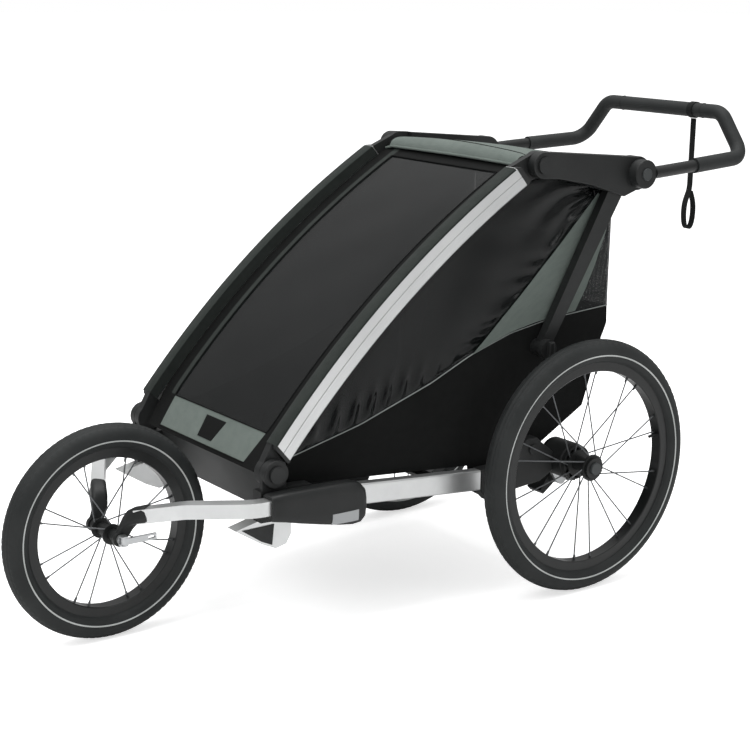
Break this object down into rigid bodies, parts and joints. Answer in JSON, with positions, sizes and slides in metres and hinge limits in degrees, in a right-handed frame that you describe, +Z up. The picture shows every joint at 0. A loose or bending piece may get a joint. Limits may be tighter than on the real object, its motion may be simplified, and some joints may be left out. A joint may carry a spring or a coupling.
{
  "type": "jogging stroller",
  "caption": "Three-wheeled jogging stroller with a folding frame, weatherproof cabin, slide-in jog arms, quick-release wheels and a tilting push bar.",
  "frame": {"origin": "on the ground, at the middle of the stroller's length and width", "axes": "+Z up, -Y forwards (towards the front wheel), +X to the child's left"},
  "size_m": [0.652, 1.5597, 0.9212],
  "materials": {
    "frame_black": "satin",
    "silver": "satin",
    "steel": "satin",
    "plastic": "fine grain",
    "grip": "foam",
    "tyre": "matte",
    "fabric_black": "woven",
    "fabric_sage": "woven",
    "window": "clear film",
    "mesh": "open mesh",
    "reflector": "prismatic",
    "accent_red": "gloss"
  },
  "bodies": {
    "chassis": {"side_rails": "silver", "front_corners": "plastic", "cross_members": "frame_black", "rear_brackets": "plastic", "hub_carriers": "plastic", "rear_axle_tube": "frame_black", "pivot_bolts": "plastic", "front_feet": "silver", "jog_sockets": "plastic", "socket_reflectors": "reflector", "brake_frame": "steel", "floor_tub": "plastic", "seat_cushion": "fabric_black", "seat_back": "fabric_black", "harness_straps": "fabric_black", "buckle": "plastic", "side_panels": "fabric_black", "side_windows": "window", "rear_mesh": "mesh", "rear_panel": "fabric_black"},
    "pedal": {"brake_pedal": "plastic"},
    "pin_left": {"brake_pin_left": "steel"},
    "pin_right": {"brake_pin_right": "steel"},
    "buckle_press": {"buckle_button": "accent_red"},
    "front_frame": {"front_rails": "silver", "rail_ends": "plastic", "canopy_bar": "frame_black", "front_cover": "fabric_black", "windscreen": "window"},
    "top_frame": {"top_housings": "plastic", "uprights": "frame_black", "rear_cross_bar": "frame_black", "roof": "fabric_sage"},
    "knob_left": {"fold_knob_left": "plastic"},
    "knob_right": {"fold_knob_right": "plastic"},
    "strut_pair": {"struts": "frame_black"},
    "push_bar": {"handlebar": "frame_black", "handlebar_grip": "grip", "handlebar_hubs": "plastic"},
    "tilt_button_left": {"hub_button_left": "plastic"},
    "tilt_button_right": {"hub_button_right": "plastic"},
    "strap": {"wrist_strap": "fabric_black"},
    "jog_kit": {"jog_arms": "silver", "dropouts": "plastic", "front_axle": "steel"},
    "front_wheel": {"front_tyre": "tyre", "front_rim": "frame_black", "front_spokes": "steel", "front_hub": "plastic"},
    "lever": {"qr_lever": "steel"},
    "rear_wheel_left": {"rear_tyre_left": "tyre", "rear_rim_left": "frame_black", "rear_spokes_left": "steel", "rear_hub_left": "plastic"},
    "axle_left": {"axle_button_left": "plastic"},
    "rear_wheel_right": {"rear_tyre_right": "tyre", "rear_rim_right": "frame_black", "rear_spokes_right": "steel", "rear_hub_right": "plastic"},
    "axle_right": {"axle_button_right": "plastic"}
  },
  "joints": [
    {"name": "frame_fold", "type": "hinge", "parent": "chassis", "child": "front_frame", "pos_m": [0, -0.37625, 0.331], "axis": [-1, 0, 0], "range_deg": [0, 27], "deforming": ["side_panels", "side_windows", "rear_mesh", "rear_panel", "seat_back", "harness_straps"]},
    {"name": "top_fold", "type": "hinge", "parent": "front_frame", "child": "top_frame", "pos_m": [0, 0.21375, 0.831], "axis": [-1, 0, 0], "range_deg": [0, 46.2]},
    {"name": "strut_fold", "type": "hinge", "parent": "chassis", "child": "strut_pair", "pos_m": [0, 0.21675, 0.282], "axis": [1, 0, 0], "range_deg": [0, 66]},
    {"name": "handlebar_tilt", "type": "hinge", "parent": "top_frame", "child": "push_bar", "pos_m": [0, 0.45775, 0.803], "axis": [1, 0, 0], "range_deg": [-55, 105]},
    {"name": "strap_swing", "type": "hinge", "parent": "push_bar", "child": "strap", "pos_m": [0, 0.76375, 0.904], "axis": [1, 0, 0], "range_deg": [-85, 45]},
    {"name": "tilt_button_press_left", "type": "slide", "parent": "push_bar", "child": "tilt_button_left", "axis": [-1, 0, 0], "range_m": [0, 0.003], "stiffness_N_per_m": 800},
    {"name": "tilt_button_press_right", "type": "slide", "parent": "push_bar", "child": "tilt_button_right", "axis": [1, 0, 0], "range_m": [0, 0.003], "stiffness_N_per_m": 800},
    {"name": "knob_turn_left", "type": "hinge", "parent": "top_frame", "child": "knob_left", "pos_m": [0.249, 0.23875, 0.479], "axis": [1, 0, 0], "range_deg": [0, 90]},
    {"name": "knob_turn_right", "type": "hinge", "parent": "top_frame", "child": "knob_right", "pos_m": [-0.249, 0.23875, 0.479], "axis": [-1, 0, 0], "range_deg": [0, 90]},
    {"name": "rear_wheel_spin_left", "type": "hinge", "parent": "chassis", "child": "rear_wheel_left", "pos_m": [0.2964, 0.30275, 0.25], "axis": [1, 0, 0], "continuous": true},
    {"name": "rear_wheel_spin_right", "type": "hinge", "parent": "chassis", "child": "rear_wheel_right", "pos_m": [-0.2964, 0.30275, 0.25], "axis": [1, 0, 0], "continuous": true},
    {"name": "axle_release_left", "type": "slide", "parent": "rear_wheel_left", "child": "axle_left", "axis": [-1, 0, 0], "range_m": [0, 0.003], "stiffness_N_per_m": 1500},
    {"name": "axle_release_right", "type": "slide", "parent": "rear_wheel_right", "child": "axle_right", "axis": [1, 0, 0], "range_m": [0, 0.003], "stiffness_N_per_m": 1500},
    {"name": "brake_press", "type": "hinge", "parent": "chassis", "child": "pedal", "pos_m": [0.15, 0.33475, 0.193], "axis": [-1, 0, 0], "range_deg": [0, 20]},
    {"name": "brake_pin_out_left", "type": "slide", "parent": "chassis", "child": "pin_left", "axis": [1, 0, 0], "range_m": [0, 0.0062]},
    {"name": "brake_pin_out_right", "type": "slide", "parent": "chassis", "child": "pin_right", "axis": [-1, 0, 0], "range_m": [0, 0.0062]},
    {"name": "buckle_press", "type": "slide", "parent": "chassis", "child": "buckle_press", "axis": [0, 0, -1], "range_m": [0, 0.003], "stiffness_N_per_m": 600},
    {"name": "jog_kit_slide", "type": "slide", "parent": "chassis", "child": "jog_kit", "axis": [0, -1, 0], "range_m": [0, 0.15]},
    {"name": "front_wheel_spin", "type": "hinge", "parent": "jog_kit", "child": "front_wheel", "pos_m": [0, -0.58025, 0.1985], "axis": [1, 0, 0], "continuous": true},
    {"name": "qr_lever_swing", "type": "hinge", "parent": "jog_kit", "child": "lever", "pos_m": [0.067, -0.58025, 0.1985], "axis": [0, 0, -1], "range_deg": [0, 150]}
  ],
  "couplings": [
    {"joint": "top_fold", "follows": "frame_fold", "ratio": 1.7074},
    {"joint": "strut_fold", "follows": "frame_fold", "ratio": 2.437},
    {"joint": "strap_swing", "follows": "handlebar_tilt", "ratio": -0.8},
    {"joint": "brake_pin_out_left", "follows": "brake_press", "m_per_rad": 0.017189},
    {"joint": "brake_pin_out_right", "follows": "brake_press", "m_per_rad": 0.017189}
  ]
}
